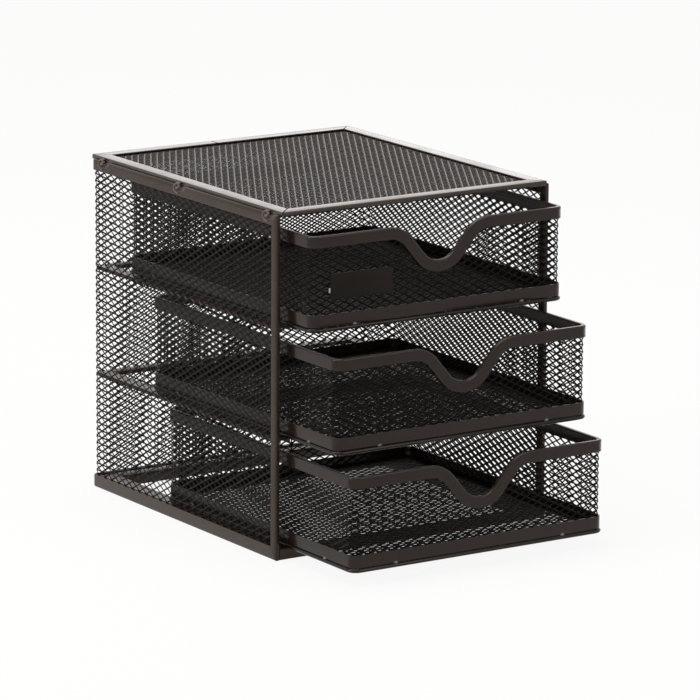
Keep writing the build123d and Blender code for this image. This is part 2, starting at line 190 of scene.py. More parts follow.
def finishPiece(bm, name, body, material, nodes=(), smoothAngle=40):
    mesh = bpy.data.meshes.new(name)
    bm.to_mesh(mesh)
    bm.free()
    piece = bpy.data.objects.new(name, mesh)
    bpy.context.scene.collection.objects.link(piece)
    mesh.materials.append(material)
    mesh.shade_smooth()
    if smoothAngle is not None:
        mesh.set_sharp_from_angle(angle=math.radians(smoothAngle))
    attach(piece, body)
    if nodes:
        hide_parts(*nodes)


def mathNode(nodes, links, operation, *inputs):
    # a Math node's output, fed with sockets or plain numbers
    node = nodes.new("ShaderNodeMath")
    node.operation = operation
    for socket, source in zip(node.inputs, inputs):
        if isinstance(source, bpy.types.NodeSocket):
            links.new(source, socket)
        else:
            socket.default_value = source
    return node.outputs[0]


def mapRange(nodes, links, source, given, wanted=(0.0, 1.0)):
    # carries a value from the given range to the wanted one
    node = nodes.new("ShaderNodeMapRange")
    for name, value in zip(("From Min", "From Max", "To Min", "To Max"), (*given, *wanted)):
        node.inputs[name].default_value = value
    links.new(source, node.inputs["Value"])
    return node.outputs["Result"]


# what all the paints share
paintLook = {
    "mottleScale": 45,
    "mottleDetail": 3,
    "mottleMiddle": 0.5,
    "peelDetail": 2,
    "dustSlope": (0.3, 1.0),        # how far a face looks up: no dust, all of it
    "dustPatches": (0.42, 0.62),    # part of the mottling over which the patches thicken
    "shadeFrom": (0.3, 0.7),        # part of the mottling that shades the colour
    "shadeTo": (0.82, 1.22),        # and the darkest and lightest that it gets
    "rippleHeight": 0.00005,        # metres
    "sheen": (1.0, 0.82, 0.71, 1),  # the gloss is a little warm
    "coatRoughness": 0.1,
}
paintInputs = {
    "Colour": (0.02, 0.02, 0.02, 1),
    "Dust Colour": (0.12, 0.11, 0.1, 1),
    "Dust": 0.05,
    "Roughness": 0.35,
    "Roughness Spread": 0.1,
    "Peel Size": 900.0,
    "Fold": 0.0,
    # how much a fold lightens the paint: partly wear, partly a painted highlight
    "Fold Wear And Highlight": 0.6,
}


def paintGroup():
    # sprayed paint on steel: broad mottling, fine orange peel and a little settled dust
    group = bpy.data.node_groups.new("sprayedPaint", "ShaderNodeTree")
    for name, value in paintInputs.items():
        kind = "NodeSocketColor" if isinstance(value, tuple) else "NodeSocketFloat"
        socket = group.interface.new_socket(name=name, in_out="INPUT", socket_type=kind)
        socket.default_value = value
    for name, kind in (("Colour", "NodeSocketColor"), ("Roughness", "NodeSocketFloat"),
                       ("Height", "NodeSocketFloat")):
        group.interface.new_socket(name=name, in_out="OUTPUT", socket_type=kind)
    nodes, links = group.nodes, group.links
    inside = nodes.new("NodeGroupInput")
    outside = nodes.new("NodeGroupOutput")
    spot = nodes.new("ShaderNodeTexCoord")

    mottle = nodes.new("ShaderNodeTexNoise")
    mottle.inputs["Scale"].default_value = paintLook["mottleScale"]
    mottle.inputs["Detail"].default_value = paintLook["mottleDetail"]
    links.new(spot.outputs["Object"], mottle.inputs["Vector"])
    peel = nodes.new("ShaderNodeTexNoise")
    peel.inputs["Detail"].default_value = paintLook["peelDetail"]
    links.new(spot.outputs["Object"], peel.inputs["Vector"])
    links.new(inside.outputs["Peel Size"], peel.inputs["Scale"])
    broad, fine = mottle.outputs["Fac"], peel.outputs["Fac"]

    # dust lies where the surface looks up, thicker in patches
    geometry = nodes.new("ShaderNodeNewGeometry")
    split = nodes.new("ShaderNodeSeparateXYZ")
    links.new(geometry.outputs["Normal"], split.inputs[0])
    upward = mapRange(nodes, links, split.outputs["Z"], paintLook["dustSlope"])
    patches = mapRange(nodes, links, broad, paintLook["dustPatches"])
    lying = mathNode(nodes, links, "MULTIPLY", upward, patches)
    dust = mathNode(nodes, links, "MULTIPLY", lying, inside.outputs["Dust"])

    # the paint is a touch lighter and darker over a few centimetres
    shade = mapRange(nodes, links, broad, paintLook["shadeFrom"], paintLook["shadeTo"])
    # on a fold it is thinner and rubbed a little lighter, partly as wear and partly as a painted
    # highlight along the fold
    foldWearAndHighlight = mathNode(nodes, links, "MULTIPLY", inside.outputs["Fold"], inside.outputs["Fold Wear And Highlight"])
    lift = mathNode(nodes, links, "MULTIPLY_ADD", foldWearAndHighlight, fine, shade)
    paint = nodes.new("ShaderNodeVectorMath")
    paint.operation = "SCALE"
    links.new(inside.outputs["Colour"], paint.inputs[0])
    links.new(lift, paint.inputs["Scale"])
    mixed = nodes.new("ShaderNodeMix")
    mixed.data_type = "RGBA"
    links.new(dust, mixed.inputs["Factor"])
    links.new(paint.outputs[0], mixed.inputs["A"])
    links.new(inside.outputs["Dust Colour"], mixed.inputs["B"])
    links.new(mixed.outputs["Result"], outside.inputs["Colour"])

    # the gloss wanders with the mottling, and dust dulls it
    wander = mathNode(nodes, links, "SUBTRACT", broad, paintLook["mottleMiddle"])
    dull = mathNode(nodes, links, "MULTIPLY_ADD", wander, inside.outputs["Roughness Spread"],
                    inside.outputs["Roughness"])
    rough = mathNode(nodes, links, "ADD", dull, dust)
    rough.node.use_clamp = True
    links.new(rough, outside.inputs["Roughness"])
    links.new(fine, outside.inputs["Height"])
    return group


sprayedPaint = paintGroup()


def paintMaterial(name, colour, roughness, spread, dust, peelSize, bump, gloss, coat=0.0):
    material = bpy.data.materials.new(name)
    material.use_nodes = True
    nodes, links = material.node_tree.nodes, material.node_tree.links
    shader = nodes["Principled BSDF"]
    paint = nodes.new("ShaderNodeGroup")
    paint.node_tree = sprayedPaint
    paint.inputs["Colour"].default_value = (*colour, 1)
    paint.inputs["Roughness"].default_value = roughness
    paint.inputs["Roughness Spread"].default_value = spread
    paint.inputs["Dust"].default_value = dust
    paint.inputs["Peel Size"].default_value = peelSize
    # the fold mark drives the paint's lightening on folds: wear and painted highlight
    mark = nodes.new("ShaderNodeAttribute")
    mark.attribute_name = "fold"
    links.new(mark.outputs["Fac"], paint.inputs["Fold"])
    ripple = nodes.new("ShaderNodeBump")
    ripple.inputs["Strength"].default_value = bump
    ripple.inputs["Distance"].default_value = paintLook["rippleHeight"]
    links.new(paint.outputs["Colour"], shader.inputs["Base Color"])
    links.new(paint.outputs["Roughness"], shader.inputs["Roughness"])
    links.new(paint.outputs["Height"], ripple.inputs["Height"])
    links.new(ripple.outputs["Normal"], shader.inputs["Normal"])
    shader.inputs["Specular Tint"].default_value = paintLook["sheen"]
    shader.inputs["Specular IOR Level"].default_value = gloss
    shader.inputs["Coat Weight"].default_value = coat
    shader.inputs["Coat Roughness"].default_value = paintLook["coatRoughness"]
    return material


caseCoat = paintMaterial(
    "caseCoat", (0.0240, 0.0160, 0.0116), roughness=0.26, spread=0.12, dust=0.04,
    peelSize=700, bump=0.3, gloss=0.30,
)
panelCoat = paintMaterial(
    "panelCoat", (0.0180, 0.0128, 0.0098), roughness=0.24, spread=0.10, dust=0.08,
    peelSize=700, bump=0.25, gloss=0.35, coat=0.35,
)
drawerCoat = paintMaterial(
    "drawerCoat", (0.0098, 0.0067, 0.0051), roughness=0.22, spread=0.12, dust=0.03,
    peelSize=700, bump=0.3, gloss=0.24, coat=0.15,
)
# darker than the top panel's mesh paint, though both are the same painted mesh: painted shade, set for
# the dark insides of the drawers, on every wall and floor of mesh
shadedMeshCoat = paintMaterial(
    "shadedMeshCoat", (0.0026, 0.0018, 0.0014), roughness=0.34, spread=0.14, dust=0.01,
    peelSize=1500, bump=0.3, gloss=0.08,
)
topMeshCoat = paintMaterial(
    "topMeshCoat", (0.0055, 0.0038, 0.0030), roughness=0.22, spread=0.10, dust=0.03,
    peelSize=1500, bump=0.2, gloss=0.28, coat=0.18,
)
wireCoat = paintMaterial(
    "wireCoat", (0.0060, 0.0048, 0.0042), roughness=0.16, spread=0.08, dust=0.02,
    peelSize=1200, bump=0.2, gloss=0.30,
)
# lighter than the case's paint: a painted highlight on the beads of weld
weldCoat = paintMaterial(
    "weldCoat", (0.0480, 0.0390, 0.0320), roughness=0.12, spread=0.1, dust=0.02,
    peelSize=2200, bump=0.6, gloss=0.50, coat=1.0,
)
# a lighter paint for the raised C beside each weld: a painted highlight along its ridge
lipCoat = paintMaterial(
    "lipCoat", (0.0700, 0.0570, 0.0470), roughness=0.34, spread=0.10, dust=0.02,
    peelSize=900, bump=0.2, gloss=0.40,
)
plateCoat = paintMaterial(
    "plateCoat", (0.0045, 0.0040, 0.0039), roughness=0.34, spread=0.06, dust=0.04,
    peelSize=400, bump=0.1, gloss=0.15,
)
# pale paint on the clip: a painted highlight, as if it caught the light
paintedHighlightClipCoat = paintMaterial(
    "paintedHighlightClipCoat", (0.55, 0.54, 0.52), roughness=0.35, spread=0.1, dust=0.02,
    peelSize=900, bump=0.2, gloss=0.50,
)
print("materials made")


# one cell of the mesh, in mm: long way across, short way up
cell = {
    "long": 6.6,
    "short": 3.5,
    "strand": 0.66,         # width of a strand seen square on
    "thickness": 0.26,
    "lean": 0.19,           # how far a strand's edges stand out of the sheet's plane
    "smallest": 0.3,        # a cell cut down to less than this share of a whole one stays closed
}


def meshSheet(width, height, keep=None, pitch=(cell["long"], cell["short"]), lean=cell["lean"]):
    # a flat sheet of expanded mesh in the XZ plane about the origin, its outside towards -Y
    leanAxis = 2 if pitch[0] > pitch[1] else 0      # strands twist about the cells' long way
    across = max(1, round(width / pitch[0]))
    upward = max(1, round(height / pitch[1]))
    longWay, shortWay = width / across, height / upward
    count = across + upward + 2
    count += count % 2
    bm = bmesh.new()
    bmesh.ops.create_grid(bm, x_segments=count, y_segments=count, size=count / 2)
    # squares are set on their points, drawn out to the cell's shape and stood up
    stretch = Matrix.Diagonal((longWay * mm / math.sqrt(2), shortWay * mm / math.sqrt(2), 1, 1))
    for change in (
        Matrix.Rotation(math.radians(45), 4, "Z"), stretch, Matrix.Rotation(math.radians(90), 4, "X"),
    ):
        bmesh.ops.transform(bm, matrix=change, verts=bm.verts)
    for place, normal in (
        ((width / 2, 0, 0), (1, 0, 0)), ((-width / 2, 0, 0), (-1, 0, 0)),
        ((0, 0, height / 2), (0, 0, 1)), ((0, 0, -height / 2), (0, 0, -1)),
    ):
        trim(bm, place, normal, nearness["sheetCut"])
    if keep is not None:
        gone = [f for f in bm.faces if not keep(f.calc_center_median() / mm)]
        bmesh.ops.delete(bm, geom=gone, context="FACES")
    whole = longWay * shortWay / 2 * mm * mm
    cells = [f for f in bm.faces if f.calc_area() > cell["smallest"] * whole]
    bmesh.ops.inset_individual(
        bm, faces=cells, thickness=cell["strand"] / 2 * mm, use_even_offset=True,
    )
    for face in cells:
        top = max(v.co[leanAxis] for v in face.verts)
        bottom = min(v.co[leanAxis] for v in face.verts)
        for v in face.verts:
            share = (v.co[leanAxis] - bottom) / max(top - bottom, 1e-9)
            v.co.y += (share - 0.5) * 2 * lean * mm
    bmesh.ops.delete(bm, geom=cells, context="FACES_ONLY")
    bmesh.ops.solidify(bm, geom=list(bm.faces), thickness=cell["thickness"] * mm)
    middle = sum(v.co.y for v in bm.verts) / len(bm.verts)
    bmesh.ops.translate(bm, verts=bm.verts, vec=(0, -middle, 0))
    bmesh.ops.recalc_face_normals(bm, faces=bm.faces)
    return bm


def placeSheet(bm, middle, turnZ=0.0, turnX=0.0):
    turn = Matrix.Rotation(math.radians(turnZ), 4, "Z") @ Matrix.Rotation(math.radians(turnX), 4, "X")
    bmesh.ops.transform(bm, matrix=Matrix.Translation(Vector(middle) * mm) @ turn, verts=bm.verts)


def stepLength(step):
    # how long a run or a turn is, along its line
    return step[1] if step[0] == "run" else math.radians(step[1]) * step[2]


def wrapMesh(route, height, keep=None):
    # a sheet of mesh as long as its route, which is runs and left turns from the origin along +X
    length = sum(stepLength(step) for step in route)
    bm = meshSheet(length, height, keep)
    for v in bm.verts:
        along = v.co.x / mm + length / 2
        outward, rise = -v.co.y / mm, v.co.z
        place, heading = Vector((0, 0, 0)), Vector((1, 0, 0))
        for k, step in enumerate(route):
            part = along if k == len(route) - 1 else min(along, stepLength(step))
            if step[0] == "run":
                place = place + heading * part
            else:
                pivot = place + upAxis.cross(heading) * step[2]
                turn = Matrix.Rotation(part / step[2], 3, "Z")
                place = pivot + turn @ (place - pivot)
                heading = turn @ heading
            along -= part
            if along <= 1e-9:
                break
        v.co = (place + heading.cross(upAxis) * outward) * mm
        v.co.z = rise
    return bm


def boxMm(node):
    low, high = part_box(node)
    return low / mm, high / mm


case = {
    "postWidth": 4.6,
    "bendRadius": 3.0,      # outside of the wall's bend at the back
    "bendSteps": 6,
    "meshHidden": 3.2,      # how far the mesh reaches in under its channels
    "jointGap": 0.14,       # beside each mitre of the side frames
    "hemInset": 0.35,       # the top channels stand a hair inside the posts
    "ledgeEdge": 0.18,      # rounding on the ledges' edges
    "sillEdge": 0.3,
}
# each weld of the top panel lies in a pinched C on the side wall's hem
lug = {
    "places": (9.5, 89.0, 160.0),       # from the post's front, along each side
    "reach": 2.7,                       # radius of the pinched pocket
    "tail": 8.0,                        # how far the pocket runs out towards the front
    "steps": 18,
    "rows": (0.3, 0.42, 0.55, 0.7),     # the hem's rows of vertices, as shares of its height
    "depth": 1.5,
    "heartDrop": 0.6,                   # from the hem's top to the pocket's middle
    "squeeze": 0.6,                     # under 1, the pocket reaches further across the hem
    "push": (0.75, 0, -0.65),           # inwards and down, on the left wall
    "ring": 2.3,                        # radius of the raised C beside each weld
    "ringWide": 0.65,                   # how far the C stands out, as a share of its tube
    "ringDrop": 1.6,                    # from the hem's top to the C's middle
    "ringSteps": 16,
    "tube": 0.5,
    "tubeSides": 8,
    "stretch": 1.35,                    # the C is longer than it is tall
    "opening": 130.0,                   # degrees of the C that are open, towards the front
    "bendFrom": 0.45,                   # share of the radius where the C starts to lean inwards
    "bendSlope": 0.55,
    "bead": 0.7,                        # radius of the weld, before it is flattened
    "beadShape": (1.2, 1.5, 0.8),
    "beadInset": 1.6,                   # from the wall's outside face
    "beadDrop": 0.55,                   # from the hem's top
}

# the wall's outside faces and the levels of its channels
wallLow, wallHigh = boxMm("base_channel_left")
caseFront, caseBack = wallLow.y, wallHigh.y
caseHalf = -wallLow.x
baseTop = wallHigh.z
sideTop = boxMm("top_channel_left")[1].z
sideHem = boxMm("top_channel_left")[0].z
backTop = boxMm("top_channel_back")[1].z


def makePosts():
    # channels folded over the mesh's front edge, their ends mitred to the top and base channels
    gap, width = case["jointGap"], case["postWidth"]
    rise, drop = baseTop / width, (sideTop - sideHem) / width
    for side, name in ((-1, "left_post"), (1, "right_post")):
        place = Vector((side * caseHalf, caseFront, 0))
        section = [(-b, a * side) for a, b in foldedSection(width)]
        bm, geom = startSweep(section, place, upAxis, Vector((1, 0, 0)))
        sweepRoute(bm, geom, place, upAxis, [("run", sideTop)])
        capEnds(bm)
        cutAway(bm, (0, caseFront, gap), Vector((0, rise, -1)).normalized())
        cutAway(bm, (0, caseFront, sideTop - gap), Vector((0, drop, 1)).normalized())
        finishPiece(bm, name + "_folded", "case", caseCoat, [name])


def pocketRoute(length):
    # a straight run with short steps wherever a weld pinches it
    route, done = [], 0.0
    for place in lug["places"]:
        if place + lug["reach"] > length:
            continue
        route.append(("run", place - lug["tail"] - done))
        route += [("run", (lug["tail"] + lug["reach"]) / lug["steps"])] * lug["steps"]
        done = place + lug["reach"]
    return route + [("run", length - done)]


def pinch(bm):
    # presses the left hem's shoulder in at each weld
    def drawOut(gap):
        gap.x *= lug["squeeze"]
        if gap.y < 0:
            gap.y *= lug["reach"] / lug["tail"]

    for place in lug["places"]:
        heart = Vector((-caseHalf + case["hemInset"], caseFront + place, sideTop - lug["heartDrop"]))
        press(bm, heart, lug["reach"], Vector(lug["push"]) * lug["depth"], drawOut)


def makeSideChannel(edge, level, height, flip, side, end):
    # runs back from the post and turns in at the back corner; made for the left wall and mirrored
    # for the right one
    top = edge == "top"
    heading = Vector((0, 1, 0))
    inset = case["hemInset"] if top else 0.0
    place = Vector((-caseHalf + inset, caseFront, level))
    section = [(-a, b * flip) for a, b in foldedSection(height, rows=lug["rows"] if top else ())]
    straight = caseBack - caseFront - case["bendRadius"]
    route = pocketRoute(straight) if top else [("run", straight)]
    route.append(("turn", -90, case["bendRadius"] - inset, upAxis, case["bendSteps"]))
    bm, geom = startSweep(section, place, heading, upAxis)
    sweepRoute(bm, geom, place, heading, route)
    capEnds(bm)
    if top:
        pinch(bm)
    slope = height / case["postWidth"]
    joint = level + flip * case["jointGap"]
    cutAway(bm, (0, caseFront, joint), Vector((0, -slope, -flip)).normalized())
    if side > 0:
        bmesh.ops.scale(bm, vec=(-1, 1, 1), verts=bm.verts)
        bmesh.ops.recalc_face_normals(bm, faces=bm.faces)
    name = f"{edge}_channel_{end}"
    finishPiece(bm, name + "_folded", "case", caseCoat, [name])


def makeBackChannel(edge, level, height, flip):
    half, heading = caseHalf - case["bendRadius"], Vector((-1, 0, 0))
    place = Vector((half, caseBack, level))
    section = [(a, b * flip) for a, b in foldedSection(height)]
    bm, geom = startSweep(section, place, heading, upAxis)
    sweepRoute(bm, geom, place, heading, [("run", 2 * half)])
    capEnds(bm)
    name = f"{edge}_channel_back"
    finishPiece(bm, name + "_folded", "case", caseCoat, [name])


def makeWallMesh():
    # one sheet wraps both sides and the back
    hidden = case["meshHidden"]
    inset = channelThickness / 2
    low, high = baseTop - hidden, sideHem + hidden
    radius = case["bendRadius"] - inset
    depth = caseBack - inset - radius - (caseFront + case["postWidth"] - hidden)
    turn = ("turn", 90, radius)
    across = ("run", 2 * (caseHalf - inset - radius))
    bm = wrapMesh([("run", depth), turn, across, turn, ("run", depth)], high - low)
    # the route starts at the right wall's front, heading back
    start = (caseHalf - inset, caseFront + case["postWidth"] - hidden, (low + high) / 2)
    placeSheet(bm, start, turnZ=90)
    walls = ["left_mesh", "right_mesh", "back_mesh"]
    finishPiece(bm, "wall_mesh", "case", shadedMeshCoat, walls, smoothAngle=None)


panel = {
    "strip": 7.0,           # width of the frame on top
    "foldRadius": 0.5,
    "hidden": 4.0,          # how far the mesh reaches in under the frame
    "pitch": (3.6, 6.0),    # one cell, its long way from front to back
    "lean": 0.25,
    "jointGap": 0.42,       # beside each mitre
    "buttAt": -7.0,         # where the frame's two ends meet on the back, from the middle
}


def makeTopPanel():
    frontLow, frontHigh = boxMm("panel_front_strip")
    half, front, back = frontHigh.x, frontLow.y, boxMm("panel_back_strip")[1].y
    top = frontHigh.z
    section = [(b, a) for a, b in foldedSection(panel["strip"], panel["foldRadius"])]
    # each side is swept from corner to corner with its fold outwards, then mitred at both ends
    corners = {
        "front": (Vector((-half, front, top)), Vector((1, 0, 0)), 2 * half),
        "right": (Vector((half, front, top)), Vector((0, 1, 0)), back - front),
        "back": (Vector((half, back, top)), Vector((-1, 0, 0)), 2 * half),
        "left": (Vector((-half, back, top)), Vector((0, -1, 0)), back - front),
    }
    gap = panel["jointGap"]
    for end, (place, heading, length) in corners.items():
        inward = upAxis.cross(heading)
        runs = [(0, length)]
        if end == "back":
            butt = half - panel["buttAt"]
            runs = [(0, butt - gap), (butt + gap, length)]
        parts = bmesh.new()
        for first, last in runs:
            begin = place + heading * first
            bm, geom = startSweep(section, begin, heading, upAxis)
            sweepRoute(bm, geom, begin, heading, [("run", last - first)])
            capEnds(bm)
            if first == 0:
                cutAway(bm, place + heading * gap, (inward - heading).normalized())
            if last == length:
                cutAway(bm, place + heading * (length - gap), (inward + heading).normalized())
            joinInto(parts, bm)
        name = f"panel_{end}_strip"
        finishPiece(parts, name + "_folded", "case", panelCoat, [name])
    reach = panel["strip"] - panel["hidden"]
    bm = meshSheet(
        2 * (half - reach), back - front - 2 * reach, pitch=panel["pitch"], lean=panel["lean"],
    )
    placeSheet(bm, (0, (front + back) / 2, top - channelThickness / 2), turnX=-90)
    finishPiece(
        bm, "top_panel_mesh", "case", topMeshCoat, ["top_mesh"], smoothAngle=None,
    )


makePosts()
for side, end in ((-1, "left"), (1, "right")):
    makeSideChannel("top", sideTop, sideTop - sideHem, 1, side, end)
    makeSideChannel("base", 0.0, baseTop, -1, side, end)
makeBackChannel("top", backTop, backTop - sideHem, 1)
makeBackChannel("base", 0.0, baseTop, -1)
makeWallMesh()
makeTopPanel()
print("case made")


drawer = {
    "cornerRadius": 5.0,
    "cornerSteps": 7,
    "rimHeight": 5.8,
    "dentRadius": 2.0,      # press mark on each front corner of the rim
    "dentDepth": 0.75,
    "dentLevel": 0.55,      # below the rim's top, as a share of its height
    "scoopDepth": 18.2,
    "scoopBottom": 11.0,    # radius at the scoop's bottom
    "scoopShoulder": 16.0,  # radius at its shoulders
    "scoopSlope": 50.0,     # degrees
    "scoopSteps": 12,
    "bandHeight": 6.0,
    "bandLeaf": 0.5,
    "bandInset": 0.3,
    "bandDrop": 0.31,       # the band's fold hangs down to the wire
    "bandTip": 0.12,        # rounding on its upper edge
    "bandFold": 0.6,        # outside of its fold
    "bandFoldSteps": 3,
    "flange": 4.3,          # how far the band turns in under the floor
    "wireRadius": 1.0,
    "wireSides": 14,
    "wireInset": 0.7,       # rim's outside face to the wire's middle
    "wallRise": 0.2,        # from the flange to the wall mesh
    "wallDrop": 1.6,        # from the rim's top to the wall mesh
    "floorInset": 1.8,      # from the rim's outside face to the floor mesh
    "floorRise": 0.4,
}


def drawerBox(name):
    # a drawer's half width, front, back and top
    low, high = boxMm(f"{name}_rim")
    return high.x, low.y, high.y, high.z


def scoopSizes():
    # the scoop's slope in radians, the length of its straight and half its width
    slope = math.radians(drawer["scoopSlope"])
    bottom, shoulder = drawer["scoopBottom"], drawer["scoopShoulder"]
    rise = drawer["scoopDepth"] - (bottom + shoulder) * (1 - math.cos(slope))
    return slope, rise / math.sin(slope), (bottom + shoulder) * math.sin(slope) + rise / math.tan(slope)


def scoopLine(x, height, drop):
    # level of the scoop's edge at x, moved down into the front by drop
    slope, _, half = scoopSizes()
    shoulder = drawer["scoopShoulder"] - drop
    bottom = drawer["scoopBottom"] + drop
    shoulderLevel = height - drawer["scoopShoulder"]
    bottomLevel = height - drawer["scoopDepth"] + drawer["scoopBottom"]
    x = abs(x)
    if x >= half:
        return height - drop
    if x >= half - shoulder * math.sin(slope):
        return shoulderLevel + math.sqrt(shoulder ** 2 - (half - x) ** 2)
    if x <= bottom * math.sin(slope):
        return bottomLevel - math.sqrt(bottom ** 2 - x ** 2)
    edge = bottom * math.sin(slope)
    return bottomLevel - bottom * math.cos(slope) + (x - edge) * math.tan(slope)


def scoopRoute():
    angle = drawer["scoopSlope"]
    run = ("run", scoopSizes()[1])
    inPlane = Vector((0, -1, 0))
    shoulder = ("turn", -angle, drawer["scoopShoulder"], inPlane, drawer["scoopSteps"] // 2)
    bottom = ("turn", 2 * angle, drawer["scoopBottom"], inPlane, drawer["scoopSteps"])
    return [shoulder, run, bottom, run, shoulder]


def sweepRing(name, section, inset, level, scoop=()):
    # carries a section once round a drawer from the middle of its back, heading right seen from
    # behind; inset is from the rim's outside face
    half, front, back, _ = drawerBox(name)
    half, radius = half - inset, drawer["cornerRadius"] - inset
    turn = ("turn", 90, radius, upAxis, drawer["cornerSteps"])
    side = ("run", back - front - 2 * inset - 2 * radius)
    flat = ("run", half - radius)
    ahead = [flat, flat]
    if scoop:
        beside = ("run", half - radius - scoopSizes()[2])
        ahead = [beside, *scoop, beside]
    start, heading = Vector((0, back - inset, level)), Vector((-1, 0, 0))
    bm, geom = startSweep(section, start, heading, upAxis)
    route = [flat, turn, side, turn, *ahead, turn, side, turn, flat]
    sweepRoute(bm, geom, start, heading, route)
    closeSweep(bm)
    return bm


def makeRim(name):
    # folded over the mesh and dipping round the scoop
    half, front, _, top = drawerBox(name)
    section = foldedSection(drawer["rimHeight"], rows=sheet["rows"])
    bm = sweepRing(name, section, 0.0, top, scoopRoute())
    turned = drawer["cornerRadius"] * (1 - math.sqrt(0.5))
    level = top - drawer["rimHeight"] * drawer["dentLevel"]
    for side in (-1, 1):
        dent = Vector((side * (half - turned), front + turned, level))
        inward = Vector((-side, 1, 0)).normalized()
        press(bm, dent, drawer["dentRadius"], inward * drawer["dentDepth"])
    finishPiece(
        bm, f"{name}_folded_rim", f"{name}_drawer", drawerCoat, [f"{name}_rim"],
    )


def makeBand(name):
    # an angle round the foot, whose flange turns in under the floor
    leaf, tip, fold = drawer["bandLeaf"], drawer["bandTip"], drawer["bandFold"]
    tall, flange = drawer["bandHeight"] + drawer["bandDrop"], drawer["flange"]
    section = [(-leaf, tall), (-leaf + tip, tall), (-tip, tall), (0, tall - tip)]
    for step in range(drawer["bandFoldSteps"] + 1):
        turn = math.pi / 2 * step / drawer["bandFoldSteps"]
        section.append((-fold + fold * math.cos(turn), fold - fold * math.sin(turn)))
    section += [(-flange, 0), (-flange, leaf), (-leaf, leaf)]
    low = boxMm(f"{name}_base_band")[0].z - drawer["bandDrop"]
    bm = sweepRing(name, section, drawer["bandInset"], low)
    finishPiece(
        bm, f"{name}_folded_band", f"{name}_drawer", drawerCoat,
        [f"{name}_base_band"],
    )


def makeWire(name):
    # the runner, bent to the same corners and closed at the back
    section = roundSection(drawer["wireRadius"], drawer["wireSides"])
    level = boxMm(f"{name}_runner_wire")[0].z + drawer["wireRadius"]
    bm = sweepRing(name, section, drawer["wireInset"], level)
    wire = [f"{name}_runner_wire"]
    finishPiece(bm, f"{name}_round_wire", f"{name}_drawer", wireCoat, wire, smoothAngle=60)


def makeDrawerWalls(name):
    # one sheet of mesh wrapped round and butted at the middle of the back
    half, front, back, top = drawerBox(name)
    foot = boxMm(f"{name}_runner_wire")[0].z
    inset = channelThickness / 2
    radius = drawer["cornerRadius"] - inset
    low = boxMm(f"{name}_base_band")[0].z + drawer["bandLeaf"] + drawer["wallRise"]
    high = top - drawer["wallDrop"]
    middle = (low + high) / 2

    def underRim(point):
        return point.z + middle - foot < scoopLine(point.x, top - foot, drawer["rimHeight"] / 2)

    turn = ("turn", 90, radius)
    side = [turn, ("run", back - front - 2 * inset - 2 * radius), turn]
    flat = half - inset - radius
    route = [("run", flat), *side, ("run", 2 * flat), *side, ("run", flat)]
    bm = wrapMesh(route, high - low, underRim)
    placeSheet(bm, (0, back - inset, middle), turnZ=180)
    walls = [f"{name}_{end}_mesh" for end in ("front", "back", "left", "right")]
    finishPiece(
        bm, f"{name}_wall_mesh", f"{name}_drawer", shadedMeshCoat, walls, smoothAngle=None,
    )


def makeDrawerFloor(name):
    # lies on the band's flange
    half, front, back, _ = drawerBox(name)
    reach = drawer["floorInset"]
    level = boxMm(f"{name}_base_band")[0].z + drawer["bandLeaf"] + drawer["floorRise"]
    bm = meshSheet(2 * (half - reach), back - front - 2 * reach)
    placeSheet(bm, (0, (front + back) / 2, level), turnX=-90)
    floor = [f"{name}_floor_mesh"]
    finishPiece(
        bm, f"{name}_floor_sheet", f"{name}_drawer", shadedMeshCoat, floor, smoothAngle=None,
    )


for name in drawerNames:
    makeRim(name)
    makeBand(name)
    makeWire(name)
    makeDrawerWalls(name)
    makeDrawerFloor(name)
print("drawers made")


tack = {
    "along": 1.5,           # half size along the wire
    "out": 0.95,
    "tall": 1.0,
    "wander": 0.12,         # how much the beads' lengths differ
    "beat": 3.1,
    "inset": 0.5,           # from the band's outside face
    "fromCorner": 24.0,     # along a side from the drawer's corner
    "smooth": 80,
}


def makeTacks(name):
    # beads of weld that bridge the base band and the runner wire, two on each side
    low, high = boxMm(f"{name}_base_band")
    middle, half = (low + high) / 2, (high - low) / 2
    spots = []
    for side in (-1, 1):
        for end in (-1, 1):
            x = side * (half.x - tack["fromCorner"])
            spots.append((Vector((x, middle.y + end * half.y, low.z)), Vector((0, -end, 0))))
            y = middle.y + end * (half.y - tack["fromCorner"])
            spots.append((Vector((side * half.x, y, low.z)), Vector((-side, 0, 0))))
    parts = bmesh.new()
    for k, (spot, inward) in enumerate(spots):
        bm = bmesh.new()
        bmesh.ops.create_uvsphere(bm, u_segments=12, v_segments=7, radius=mm)
        long = tack["along"] * (1 + tack["wander"] * math.sin(tack["beat"] * k))
        wide, deep = (tack["out"], long) if inward.x else (long, tack["out"])
        bmesh.ops.scale(bm, vec=(wide, deep, tack["tall"]), verts=bm.verts)
        bmesh.ops.translate(bm, vec=(spot + inward * tack["inset"]) * mm, verts=bm.verts)
        joinInto(parts, bm)
    welds = [f"{name}_welds"]
    finishPiece(parts, f"{name}_tacks", f"{name}_drawer", weldCoat, welds, tack["smooth"])


